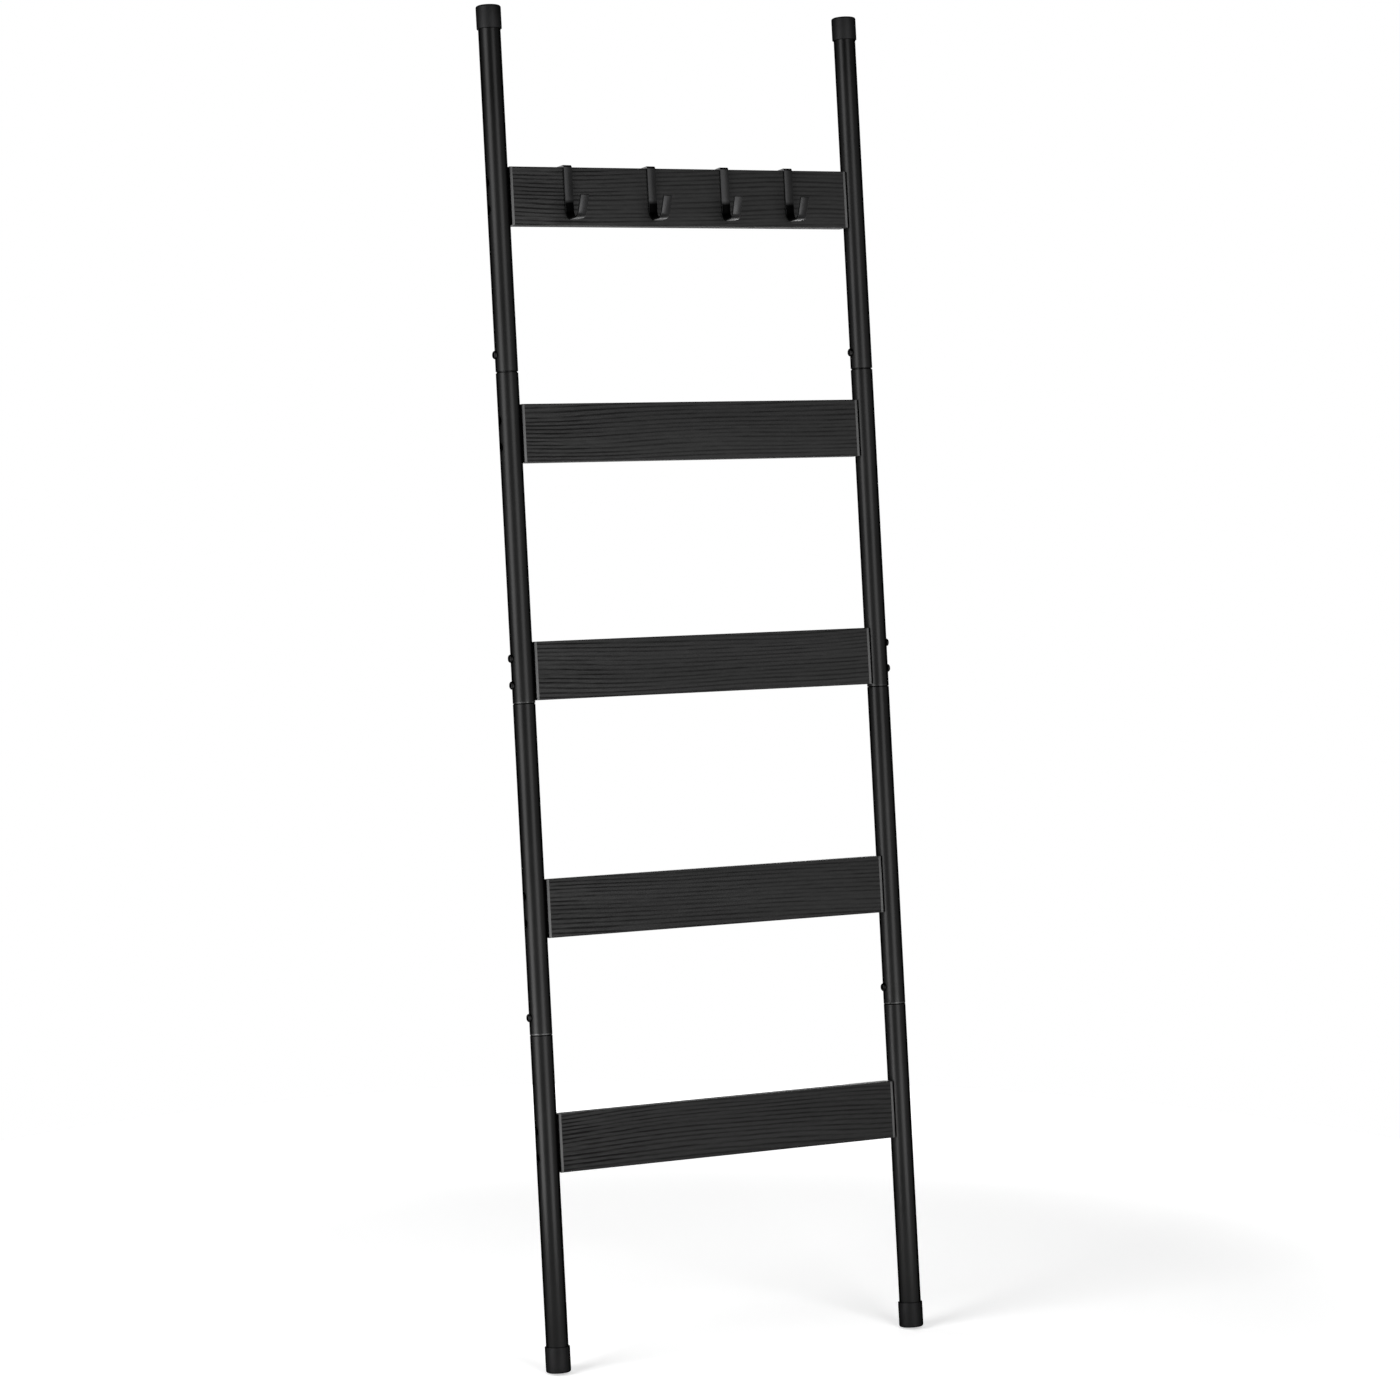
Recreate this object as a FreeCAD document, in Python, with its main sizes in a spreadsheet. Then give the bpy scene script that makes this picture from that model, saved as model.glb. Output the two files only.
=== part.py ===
import FreeCAD, Part
import os
import Sketcher

# Blanket ladder: two round steel rails, each of four plug-together tubes, five flat boards
# between them as rungs, and four strip hooks that hang over the top board. It leans on a wall.
#
# Every piece is drawn in an upright ladder frame: X along the boards, Y from the room towards
# the wall, Z up the rails from the underside of the feet. One placement then leans each piece
# back and sets the ladder on the floor, so the origin is at floor level under its middle.

Vector = FreeCAD.Vector
Placement = FreeCAD.Placement
Rotation = FreeCAD.Rotation

# name, size in millimetres (angles in degrees), what it is
SIZES = [
    ("lean", 7, "how far the rails lean back from upright"),
    ("ladder_length", 1632, "along a rail, from foot to top cap"),
    ("rail_spacing", 477, "between the axes of the two rails"),
    ("tube_diameter", 27, "outside of the rail tube"),
    ("tube_wall", 1.2, "thickness of the tube's steel"),
    ("section_length", 395.5, "of a middle tube, from joint to joint"),
    ("shoulder", 1, "length of the step down to a tube's neck"),
    ("neck_length", 42, "of the neck in the lower and upper joints"),
    ("neck_gap", 0.1, "between a neck and the tube over it, all round"),
    ("neck_above_bolt", 18, "neck left above the upper bolt of board 3"),
    ("middle_joint_drop", 22, "from the lower bolt of board 3 down to the middle joint"),
    ("joint_bolt_rise", 21, "from a joint up to its bolt"),
    ("lowest_board_height", 272, "centre of board 5 above the feet"),
    ("lowest_board_pitch", 280, "between the centres of boards 5 and 4"),
    ("board_pitch", 284, "between the centres of the other boards"),
    ("board_height", 70, "from the lower to the upper edge"),
    ("board_thickness", 18, "from front to back"),
    ("board_round", 0.8, "radius of a board's long edges"),
    ("band_thickness", 3, "of the edge band on a board's end"),
    ("bolt_spacing", 32, "between the two bolts in a board's end"),
    ("bolt_diameter", 6, "outside of the thread"),
    ("bolt_hole_gap", 0.3, "between a bolt and its plain hole, all round"),
    ("thread_gap", 0.05, "between a bolt and its nut or insert, all round"),
    ("head_diameter", 10, "of the button head"),
    ("head_height", 3.3, "of the button head"),
    ("head_rim", 0.8, "height of the straight rim under the head's dome"),
    ("access_gap", 0.5, "between a head and the hole it goes in by, all round"),
    ("socket_width", 4, "across the flats of the hexagon socket"),
    ("socket_depth", 2, "of the hexagon socket"),
    ("bolt_point", 0.8, "chamfer at a bolt's tip"),
    ("short_bolt", 35, "length of the bolts whose heads are inside the rail"),
    ("long_bolt", 60, "length of the bolts that pass the middle joint"),
    ("joint_bolt", 14, "length of the bolts that lock the other joints"),
    ("nut_width", 10, "across the flats of the nut inside a neck"),
    ("nut_height", 5, "of the nut inside a neck"),
    ("insert_diameter", 9.5, "of the threaded insert in a board's end"),
    ("insert_length", 18, "of the threaded insert"),
    ("insert_gap", 0.05, "between an insert and its hole, all round"),
    ("hole_end_room", 2, "left beyond a bolt's tip in its hole"),
    ("cap_wall", 1.5, "of the rubber round the tube"),
    ("cap_gap", 0.1, "between the tube and its cap, all round"),
    ("top_cap_length", 28, "of the cap on a rail's top"),
    ("top_cap_roof", 3, "rubber above the tube's end"),
    ("top_cap_round", 2.5, "radius of its upper edge"),
    ("foot_length", 31, "of the rubber foot"),
    ("foot_floor", 5, "rubber under the tube's end"),
    ("foot_round", 2.5, "radius of its lower edge"),
    ("lip_taper", 0.8, "slope at the open end of a cap or foot"),
    ("strip_width", 11, "of the flat strip the hooks are bent from"),
    ("strip_thickness", 2.5, "of that strip"),
    ("hook_play", 1, "between the board and a hook, front and back together"),
    ("hook_back", 22, "how far a hook reaches down behind the board"),
    ("hook_drop", 65, "from the board's upper edge to the hook's underside"),
    ("hook_reach", 31, "from the hook's shank to its front bend"),
    ("hook_tip", 28, "length of the upturned tip"),
    ("tip_angle", 25, "how far the tip leans out from the shank's line"),
    ("shank_bend", 11, "inside radius where the shank turns forward"),
    ("tip_bend", 8, "inside radius where the tip turns up"),
    ("top_bend", 0.8, "inside radius over the board's edges"),
    ("hook_1_place", -151.5, "centre of hook 1 from the ladder's middle"),
    ("hook_2_place", -41, "centre of hook 2"),
    ("hook_3_place", 58, "centre of hook 3"),
    ("hook_4_place", 144.5, "centre of hook 4"),
    ("hook_1_twist", 3, "how far hook 1 is turned on the board within its play"),
    ("hook_2_twist", 1, "the same for hook 2"),
    ("hook_3_twist", -3.5, "the same for hook 3"),
    ("hook_4_twist", 0, "the same for hook 4"),
]

ROUGH_SIZE = 50     # mm, of a drawing before its own sizes are set
CLOSE = 0.01        # mm, how near two places must be to count as one

document = FreeCAD.newDocument("BlanketLadder")
sheet = document.addObject("Spreadsheet::Sheet", "Sizes")
for row, (alias, size, meaning) in enumerate(SIZES, 1):
    sheet.set(f"A{row}", alias)
    sheet.set(f"B{row}", str(size))
    sheet.setAlias(f"B{row}", alias)
    sheet.set(f"C{row}", meaning)
document.recompute()

# What follows from the sizes, written once as expressions on the sheet.
TUBE_R = "(Sizes.tube_diameter / 2)"
TUBE_BORE_R = f"({TUBE_R} - Sizes.tube_wall)"
NECK_R = f"({TUBE_BORE_R} - Sizes.neck_gap)"
NECK_BORE_R = f"({NECK_R} - Sizes.tube_wall)"
LONG_NECK = "(Sizes.middle_joint_drop + Sizes.bolt_spacing + Sizes.neck_above_bolt)"
CAP_BORE_R = f"({TUBE_R} + Sizes.cap_gap)"
CAP_R = f"({CAP_BORE_R} + Sizes.cap_wall)"
BOLT_R = "(Sizes.bolt_diameter / 2)"
HEAD_R = "(Sizes.head_diameter / 2)"
BOLT_HOLE = "(Sizes.bolt_diameter + 2 * Sizes.bolt_hole_gap)"
ACCESS_HOLE = "(Sizes.head_diameter + 2 * Sizes.access_gap)"

# Boards are numbered from the top, and hooks from the left.
BOARD_CENTRES = {5: "Sizes.lowest_board_height"}
BOARD_CENTRES[4] = f"({BOARD_CENTRES[5]} + Sizes.lowest_board_pitch)"
for number in (3, 2, 1):
    BOARD_CENTRES[number] = f"({BOARD_CENTRES[number + 1]} + Sizes.board_pitch)"
BOARD_TOP = f"({BOARD_CENTRES[1]} + Sizes.board_height / 2)"
BAND_END = f"(Sizes.rail_spacing / 2 - {TUBE_R})"
CORE_END = f"({BAND_END} - Sizes.band_thickness)"

MIDDLE_JOINT = f"({BOARD_CENTRES[3]} - Sizes.bolt_spacing / 2 - Sizes.middle_joint_drop)"
LOWER_JOINT = f"({MIDDLE_JOINT} - Sizes.section_length)"
UPPER_JOINT = f"({MIDDLE_JOINT} + Sizes.section_length)"
TUBE_FOOT = "Sizes.foot_floor"
TUBE_HEAD = "(Sizes.ladder_length - Sizes.top_cap_roof)"

# Where the round edge of a foot meets the floor, and the middle of the leaning ladder's depth.
SIN = "sin(Sizes.lean * 1 deg)"
COS = "cos(Sizes.lean * 1 deg)"
TAN_TIP = "tan(Sizes.tip_angle * 1 deg)"
SIN_TIP = "sin(Sizes.tip_angle * 1 deg)"
COS_TIP = "cos(Sizes.tip_angle * 1 deg)"
LIFT = f"(({CAP_R} - Sizes.foot_round) * {SIN} + Sizes.foot_round * (1 - {COS}))"
REAR = (f"(({CAP_R} - Sizes.top_cap_round) * {COS}"
        f" + (Sizes.ladder_length - Sizes.top_cap_round) * {SIN} + Sizes.top_cap_round)")
FRONT = f"(Sizes.foot_round * {SIN} - ({CAP_R} - Sizes.foot_round) * {COS} - Sizes.foot_round)"
SET_BACK = f"(({REAR} + {FRONT}) / 2)"

subparts = []


def new_piece(label, offset="0"):
    """Start a sub-part, leaning with the ladder, with its own X measured from offset."""
    body = document.addObject("PartDesign::Body", label)
    body.Label = label
    body.AllowCompound = True
    body.Placement = Placement(Vector(), Rotation(Vector(1, 0, 0), 1))
    body.setExpression("Placement.Rotation.Angle", "-Sizes.lean * 1 deg")
    body.setExpression("Placement.Base.x", offset)
    body.setExpression("Placement.Base.y", f"-{SET_BACK}")
    body.setExpression("Placement.Base.z", LIFT)
    subparts.append(body)
    return body


def origin_plane(body, role):
    return next(item for item in body.Origin.OriginFeatures if item.Role == role)


def new_sketch(body, name, role, across=None, along=None):
    """A sketch on an origin plane, moved up the sketch by across or out of it by along."""
    sketch = body.newObject("Sketcher::SketchObject", f"{body.Name}_{name}")
    sketch.AttachmentSupport = [(origin_plane(body, role), "")]
    sketch.MapMode = "FlatFace"
    if across:
        sketch.setExpression("AttachmentOffset.Base.y", across)
    if along:
        sketch.setExpression("AttachmentOffset.Base.z", along)
    return sketch


def draw_outline(sketch, points):
    """A closed outline of straight lines through points given as pairs of expressions."""
    count = len(points)
    first = sketch.GeometryCount
    corners = [Rotation(Vector(0, 0, 1), 360 * i / count).multVec(Vector(ROUGH_SIZE, 0, 0))
               for i in range(count)]
    for i in range(count):
        sketch.addGeometry(Part.LineSegment(corners[i], corners[(i + 1) % count]))
    for i in range(count):
        sketch.addConstraint(Sketcher.Constraint("Coincident", first + i, 2,
                                                 first + (i + 1) % count, 1))
    for i, point in enumerate(points):
        for kind, expression in zip(("DistanceX", "DistanceY"), point):
            place = Sketcher.Constraint(kind, -1, 1, first + i, 1, ROUGH_SIZE)
            index = sketch.addConstraint(place)
            sketch.setExpression(f"Constraints[{index}]", expression)


def draw_circle(sketch, height, diameter):
    """A circle on the sketch's upright axis."""
    rough = Part.Circle(Vector(0, ROUGH_SIZE, 0), Vector(0, 0, 1), ROUGH_SIZE)
    circle = sketch.addGeometry(rough)
    sketch.addConstraint(Sketcher.Constraint("PointOnObject", circle, 3, -2))
    place = sketch.addConstraint(Sketcher.Constraint("DistanceY", -1, 1, circle, 3, ROUGH_SIZE))
    sketch.setExpression(f"Constraints[{place}]", height)
    size = sketch.addConstraint(Sketcher.Constraint("Diameter", circle, ROUGH_SIZE))
    sketch.setExpression(f"Constraints[{size}]", diameter)


def draw_hexagon(sketch, flats):
    """A regular hexagon round the sketch's origin, with two flats upright."""
    side = f"({flats} / sqrt(3))"
    half = f"({flats} / 2)"
    draw_outline(sketch, [(half, f"{side} / 2"), ("0", side), (f"-{half}", f"{side} / 2"),
                          (f"-{half}", f"-{side} / 2"), ("0", f"-{side}"), (half, f"-{side} / 2")])


def turn(body, name, points, height=None):
    """A solid of revolution: round the upright axis, or round a level line at a height."""
    sketch = new_sketch(body, f"{name}_profile", "XZ_Plane", across=height)
    draw_outline(sketch, points)
    solid = body.newObject("PartDesign::Revolution", f"{body.Name}_{name}")
    solid.Profile = sketch
    solid.ReferenceAxis = (sketch, ["H_Axis" if height else "V_Axis"])
    solid.Angle = 360
    document.recompute()
    return solid


def cut(body, sketch, name, depth=None, towards_left=True):
    """Cut a sketch's outlines out of the piece, along X, and check that material went."""
    before = body.Shape.Volume
    pocket = body.newObject("PartDesign::Pocket", f"{body.Name}_{name}")
    pocket.Profile = sketch
    pocket.Reversed = not towards_left
    if depth:
        pocket.setExpression("Length", depth)
    else:
        pocket.Type = "ThroughAll"
    document.recompute()
    if body.Shape.Volume > before - CLOSE:
        raise RuntimeError(f"{body.Label}: {name} removed nothing")
    return pocket


def round_edges(body, name, radius, chosen):
    """Round the edges of the piece, as drawn before it leans, that chosen picks."""
    base = body.Tip
    names = [f"Edge{i}" for i, edge in enumerate(base.Shape.Edges, 1) if chosen(edge)]
    fillet = body.newObject("PartDesign::Fillet", f"{body.Name}_{name}")
    fillet.Base = (base, names)
    fillet.setExpression("Radius", radius)
    body.Tip = fillet
    document.recompute()


def pattern(body, name, steps):
    """Repeat the whole piece: each step is an axis with a distance, or None for a mirror."""
    repeat = body.newObject("PartDesign::MultiTransform", f"{body.Name}_{name}")
    repeat.TransformMode = "Whole shape"
    parts = []
    for number, (role, distance) in enumerate(steps, 1):
        if distance is None:
            step = body.newObject("PartDesign::Mirrored", f"{body.Name}_{name}_{number}")
            step.MirrorPlane = (origin_plane(body, role), [""])
        else:
            step = body.newObject("PartDesign::LinearPattern", f"{body.Name}_{name}_{number}")
            step.Direction = (origin_plane(body, role), [""])
            step.Occurrences = 2
            step.setExpression("Length", distance)
        parts.append(step)
    repeat.Transformations = parts
    body.Tip = repeat
    document.recompute()


def bolt_heights(number):
    """Heights of the two bolts in the end of a board, lower one first."""
    centre = BOARD_CENTRES[number]
    return [f"{centre} - Sizes.bolt_spacing / 2", f"{centre} + Sizes.bolt_spacing / 2"]


def drill(body, name, heights, diameter, side):
    """Holes through one wall of an upright tube: side is -1 for its left, 1 for its right."""
    sketch = new_sketch(body, f"{name}_circles", "YZ_Plane")
    for height in heights:
        draw_circle(sketch, height, diameter)
    cut(body, sketch, name, towards_left=side < 0)


def make_tube(label, side, bottom, top, neck=None, boards=(), joint_holes=()):
    """One tube of a rail, with the neck that goes up into the tube above it."""
    tube = new_piece(label, f"{side} * Sizes.rail_spacing / 2")
    if neck:
        shoulder = f"{top} - Sizes.shoulder"
        outline = [(TUBE_BORE_R, bottom), (TUBE_R, bottom), (TUBE_R, shoulder), (NECK_R, top),
                   (NECK_R, f"{top} + {neck}"), (NECK_BORE_R, f"{top} + {neck}"),
                   (NECK_BORE_R, shoulder),
                   (TUBE_BORE_R, f"{shoulder} - {TUBE_BORE_R} + {NECK_BORE_R}")]
    else:
        outline = [(TUBE_BORE_R, bottom), (TUBE_R, bottom), (TUBE_R, top), (TUBE_BORE_R, top)]
    turn(tube, "wall", outline)
    for board in boards:
        # The head of a short bolt goes in through the outer wall and clamps the inner one.
        drill(tube, f"access_{board}", bolt_heights(board), ACCESS_HOLE, side)
        drill(tube, f"bolt_holes_{board}", bolt_heights(board), BOLT_HOLE, -side)
    for number, (heights, both) in enumerate(joint_holes, 1):
        drill(tube, f"joint_left_{number}", heights, BOLT_HOLE, -1)
        if both:
            drill(tube, f"joint_right_{number}", heights, BOLT_HOLE, 1)


def joint_bolt_height(joint):
    return f"{joint} + Sizes.joint_bolt_rise"


for rail, side in (("left", -1), ("right", 1)):
    lower_bolt = ([joint_bolt_height(LOWER_JOINT)], False)
    upper_bolt = ([joint_bolt_height(UPPER_JOINT)], False)
    middle_bolts = (bolt_heights(3), True)
    make_tube(f"{rail}_rail_bottom", side, TUBE_FOOT, LOWER_JOINT, "Sizes.neck_length",
              boards=[5], joint_holes=[lower_bolt])
    make_tube(f"{rail}_rail_lower", side, LOWER_JOINT, MIDDLE_JOINT, LONG_NECK,
              boards=[4], joint_holes=[lower_bolt, middle_bolts])
    make_tube(f"{rail}_rail_upper", side, MIDDLE_JOINT, UPPER_JOINT, "Sizes.neck_length",
              boards=[2], joint_holes=[middle_bolts, upper_bolt])
    make_tube(f"{rail}_rail_top", side, UPPER_JOINT, TUBE_HEAD,
              boards=[1], joint_holes=[upper_bolt])


def is_rim(edge, radius, height):
    """True for the round edge of that radius at that height above the feet."""
    return (isinstance(edge.Curve, Part.Circle) and abs(edge.Curve.Radius - radius) < CLOSE
            and abs(edge.Curve.Center.z - height) < CLOSE)


cap_radius = sheet.tube_diameter / 2 + sheet.cap_gap + sheet.cap_wall
for rail, side in (("left", -1), ("right", 1)):
    place = f"{side} * Sizes.rail_spacing / 2"
    foot = new_piece(f"{rail}_foot", place)
    foot_rim = "Sizes.foot_length"
    turn(foot, "rubber", [("0", "0"), (CAP_R, "0"), (CAP_R, f"{foot_rim} - Sizes.lip_taper"),
                          (f"{CAP_R} - Sizes.lip_taper", foot_rim), (CAP_BORE_R, foot_rim),
                          (CAP_BORE_R, TUBE_FOOT), ("0", TUBE_FOOT)])
    round_edges(foot, "lower_edge", "Sizes.foot_round", lambda edge: is_rim(edge, cap_radius, 0))

    cap = new_piece(f"{rail}_top_cap", place)
    top = "Sizes.ladder_length"
    cap_rim = f"{top} - Sizes.top_cap_length"
    turn(cap, "rubber", [("0", top), (CAP_R, top), (CAP_R, f"{cap_rim} + Sizes.lip_taper"),
                         (f"{CAP_R} - Sizes.lip_taper", cap_rim), (CAP_BORE_R, cap_rim),
                         (CAP_BORE_R, TUBE_HEAD), ("0", TUBE_HEAD)])
    round_edges(cap, "upper_edge", "Sizes.top_cap_round",
                lambda edge: is_rim(edge, cap_radius, sheet.ladder_length))


def make_bolt(body, height, seat, length):
    """A button head bolt along X: seat is under its head, and it points to the right."""
    head_top = f"{seat} - Sizes.head_height"
    tip = f"{seat} + {length}"
    turn(body, "bolt", [(head_top, "0"), (head_top, HEAD_R), (seat, HEAD_R),
                        (seat, BOLT_R), (f"{tip} - Sizes.bolt_point", BOLT_R),
                        (tip, f"{BOLT_R} - Sizes.bolt_point"), (tip, "0")], height=height)
    rims = [edge for edge in body.Tip.Shape.Edges if isinstance(edge.Curve, Part.Circle)]
    left_end = min(edge.Curve.Center.x for edge in rims)
    round_edges(body, "dome", "Sizes.head_height - Sizes.head_rim",
                lambda edge: (isinstance(edge.Curve, Part.Circle)
                              and edge.Curve.Center.x < left_end + CLOSE))
    sketch = new_sketch(body, "socket", "YZ_Plane", across=height, along=head_top)
    draw_hexagon(sketch, "Sizes.socket_width")
    cut(body, sketch, "socket_cut", depth="Sizes.socket_depth", towards_left=False)


# Seats of the bolt heads, from the rail's axis towards its board. A short bolt's head sits
# in the curve of the inner wall; a long one's sits on the rail's outer side.
SHORT_SEAT = f"sqrt({TUBE_BORE_R}^2 - {HEAD_R}^2)"
LONG_SEAT = f"-{TUBE_R}"
BOARD_BOLTS = {number: (SHORT_SEAT, "Sizes.short_bolt") for number in (1, 2, 4, 5)}
BOARD_BOLTS[3] = (LONG_SEAT, "Sizes.long_bolt")
LEFT_AXIS = "-Sizes.rail_spacing / 2"

for number in sorted(BOARD_CENTRES):
    seat, length = BOARD_BOLTS[number]
    bolts = new_piece(f"board_{number}_bolts")
    make_bolt(bolts, bolt_heights(number)[0], f"({LEFT_AXIS} + {seat})", length)
    pattern(bolts, "four", [("XY_Plane", "Sizes.bolt_spacing"), ("YZ_Plane", None)])

    inserts = new_piece(f"board_{number}_inserts")
    insert_start = f"(-{CORE_END})"
    insert_end = f"({insert_start} + Sizes.insert_length)"
    thread_r = f"({BOLT_R} + Sizes.thread_gap)"
    turn(inserts, "sleeve", [(insert_start, thread_r), (insert_start, "Sizes.insert_diameter / 2"),
                             (insert_end, "Sizes.insert_diameter / 2"), (insert_end, thread_r)],
         height=bolt_heights(number)[0])
    pattern(inserts, "four", [("XY_Plane", "Sizes.bolt_spacing"), ("YZ_Plane", None)])


def board_outline(board, reach, number):
    """The cross-section of a board, drawn at the left end of what reaches that far."""
    centre = BOARD_CENTRES[number]
    low = f"{centre} - Sizes.board_height / 2"
    high = f"{centre} + Sizes.board_height / 2"
    sketch = new_sketch(board, "section", "YZ_Plane", along=f"-{reach}")
    front = "-Sizes.board_thickness / 2"
    back = "Sizes.board_thickness / 2"
    draw_outline(sketch, [(front, low), (back, low), (back, high), (front, high)])
    return sketch


def is_level_along_x(edge):
    start, end = edge.Vertexes[0].Point, edge.Vertexes[-1].Point
    return abs(start.y - end.y) + abs(start.z - end.z) < CLOSE < abs(start.x - end.x)


for number in sorted(BOARD_CENTRES):
    board = new_piece(f"board_{number}")
    section = board_outline(board, CORE_END, number)
    core = board.newObject("PartDesign::Pad", f"{board.Name}_core")
    core.Profile = section
    core.setExpression("Length", f"2 * {CORE_END}")
    document.recompute()
    round_edges(board, "long_edges", "Sizes.board_round", is_level_along_x)
    seat, length = BOARD_BOLTS[number]
    bolt_reach = f"({seat} + {length} - {TUBE_R} - Sizes.band_thickness + Sizes.hole_end_room)"
    ends = []
    for name, diameter, depth in (
            ("insert_holes", "Sizes.insert_diameter + 2 * Sizes.insert_gap", "Sizes.insert_length"),
            ("bolt_ends", BOLT_HOLE, bolt_reach)):
        circles = new_sketch(board, f"{name}_circles", "YZ_Plane", along=CORE_END)
        for height in bolt_heights(number):
            draw_circle(circles, height, diameter)
        ends.append(cut(board, circles, name, depth=depth))
    mirror = board.newObject("PartDesign::Mirrored", f"{board.Name}_left_holes")
    mirror.Originals = ends
    mirror.MirrorPlane = (origin_plane(board, "YZ_Plane"), [""])
    board.Tip = mirror
    document.recompute()

    bands = new_piece(f"board_{number}_end_bands")
    section = board_outline(bands, BAND_END, number)
    for height in bolt_heights(number):
        draw_circle(section, height, BOLT_HOLE)
    band = bands.newObject("PartDesign::Pad", f"{bands.Name}_band")
    band.Profile = section
    band.setExpression("Length", "Sizes.band_thickness")
    document.recompute()
    round_edges(bands, "corners", "Sizes.board_round", is_level_along_x)
    pattern(bands, "both", [("YZ_Plane", None)])

# The joints of a rail, all bolted from its left side, with a nut inside each neck.
for rail, side in (("left", -1), ("right", 1)):
    place = f"{side} * Sizes.rail_spacing / 2"
    bolts = new_piece(f"{rail}_joint_bolts", place)
    make_bolt(bolts, joint_bolt_height(LOWER_JOINT), f"(-{TUBE_R})", "Sizes.joint_bolt")
    pattern(bolts, "two", [("XY_Plane", "2 * Sizes.section_length")])

    nuts = new_piece(f"{rail}_joint_nuts", place)
    nut_seat = f"(-sqrt({NECK_BORE_R}^2 - (Sizes.nut_width / 2)^2))"
    sketch = new_sketch(nuts, "hexagon", "YZ_Plane", across=joint_bolt_height(LOWER_JOINT),
                        along=nut_seat)
    draw_hexagon(sketch, "Sizes.nut_width")
    draw_circle(sketch, "0", "Sizes.bolt_diameter + 2 * Sizes.thread_gap")
    nut = nuts.newObject("PartDesign::Pad", f"{nuts.Name}_nut")
    nut.Profile = sketch
    nut.setExpression("Length", "Sizes.nut_height")
    document.recompute()
    pattern(nuts, "two", [("XY_Plane", "2 * Sizes.section_length")])

# The hooks, as the outline of a bent strip seen from the side: Y towards the wall, Z up.
INNER = "((Sizes.board_thickness + Sizes.hook_play) / 2)"
OUTER = f"({INNER} + Sizes.strip_thickness)"
UNDERSIDE = f"({BOARD_TOP} - Sizes.hook_drop)"
FLOOR = f"({UNDERSIDE} + Sizes.strip_thickness)"
FRONT_BEND = f"({OUTER} + Sizes.hook_reach)"
TIP_INSIDE = (f"({FRONT_BEND} - Sizes.strip_thickness / {COS_TIP}"
              f" + Sizes.strip_thickness * {TAN_TIP})")
TIP_OUT = f"({FRONT_BEND} + Sizes.hook_tip * {SIN_TIP})"
TIP_UP = f"({UNDERSIDE} + Sizes.hook_tip * {COS_TIP})"
HOOK_OUTLINE = {
    "leg_outside": (OUTER, f"{BOARD_TOP} - Sizes.hook_back"),
    "back_outside": (OUTER, f"{BOARD_TOP} + Sizes.strip_thickness"),
    "crown_outside": (f"-{OUTER}", f"{BOARD_TOP} + Sizes.strip_thickness"),
    "shank_inside": (f"-{OUTER}", FLOOR),
    "tip_inside": (f"-{TIP_INSIDE}", FLOOR),
    "end_inside": (f"-{TIP_OUT} + Sizes.strip_thickness * {COS_TIP}",
                   f"{TIP_UP} + Sizes.strip_thickness * {SIN_TIP}"),
    "end_outside": (f"-{TIP_OUT}", TIP_UP),
    "tip_outside": (f"-{FRONT_BEND}", UNDERSIDE),
    "shank_outside": (f"-{INNER}", UNDERSIDE),
    "crown_inside": (f"-{INNER}", BOARD_TOP),
    "back_inside": (INNER, BOARD_TOP),
    "leg_inside": (INNER, f"{BOARD_TOP} - Sizes.hook_back"),
}
# The bends, named after their corners of the outline, and their inside radii.
HOOK_BENDS = {"back": "Sizes.top_bend", "crown": "Sizes.top_bend",
              "shank": "Sizes.shank_bend", "tip": "Sizes.tip_bend"}


def at_corner(point):
    """Chooses the edge of the hook's strip that crosses the sketch plane at a point."""
    return lambda edge: (abs(edge.Length - sheet.strip_width) < CLOSE
                         and edge.CenterOfMass.distanceToPoint(point) < CLOSE)


for number in (1, 2, 3, 4):
    hook = new_piece(f"hook_{number}")
    side_view = new_sketch(hook, "side_view", "YZ_Plane", along=f"Sizes.hook_{number}_place")
    side_view.AttachmentOffset = Placement(side_view.AttachmentOffset.Base,
                                           Rotation(Vector(0, 1, 0), 1))
    side_view.setExpression("AttachmentOffset.Rotation.Angle",
                            f"Sizes.hook_{number}_twist * 1 deg")
    draw_outline(side_view, list(HOOK_OUTLINE.values()))
    strip = hook.newObject("PartDesign::Pad", f"{hook.Name}_strip")
    strip.Profile = side_view
    strip.setExpression("Length", "Sizes.strip_width")
    strip.Midplane = True
    document.recompute()
    corners = {corner: side_view.Placement.multVec(side_view.getPoint(line, 1))
               for line, corner in enumerate(HOOK_OUTLINE)}
    for name, inside in HOOK_BENDS.items():
        round_edges(hook, f"{name}_inside", inside, at_corner(corners[f"{name}_inside"]))
        round_edges(hook, f"{name}_outside", f"{inside} + Sizes.strip_thickness",
                    at_corner(corners[f"{name}_outside"]))

document.recompute()
for item in document.Objects:
    if "Invalid" in item.State or "Error" in item.State:
        raise RuntimeError(f"{item.Label} did not build: {item.State}")
os.makedirs("parts", exist_ok=True)
for piece in subparts:
    if piece.Shape.isNull() or not piece.Shape.isValid():
        raise RuntimeError(f"{piece.Label} has no sound shape")
    piece.Shape.exportStep(f"parts/{piece.Label}.step")
    print(f"{piece.Label:22s} {len(piece.Shape.Solids)} solids {piece.Shape.Volume / 1000:9.2f} cm3")
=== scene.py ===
# %% [markdown]
# # A blanket ladder, dressed for its picture
#
# The ladder is a flat-pack one: two round steel rails, five flat boards between them and four
# strip hooks over the top board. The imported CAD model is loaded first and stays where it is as
# the frame. Every piece below is modelled over its CAD solid, at its real size in metres.

# %% The frame
import bpy
import bmesh
import math
from mathutils import Matrix, Vector


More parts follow.
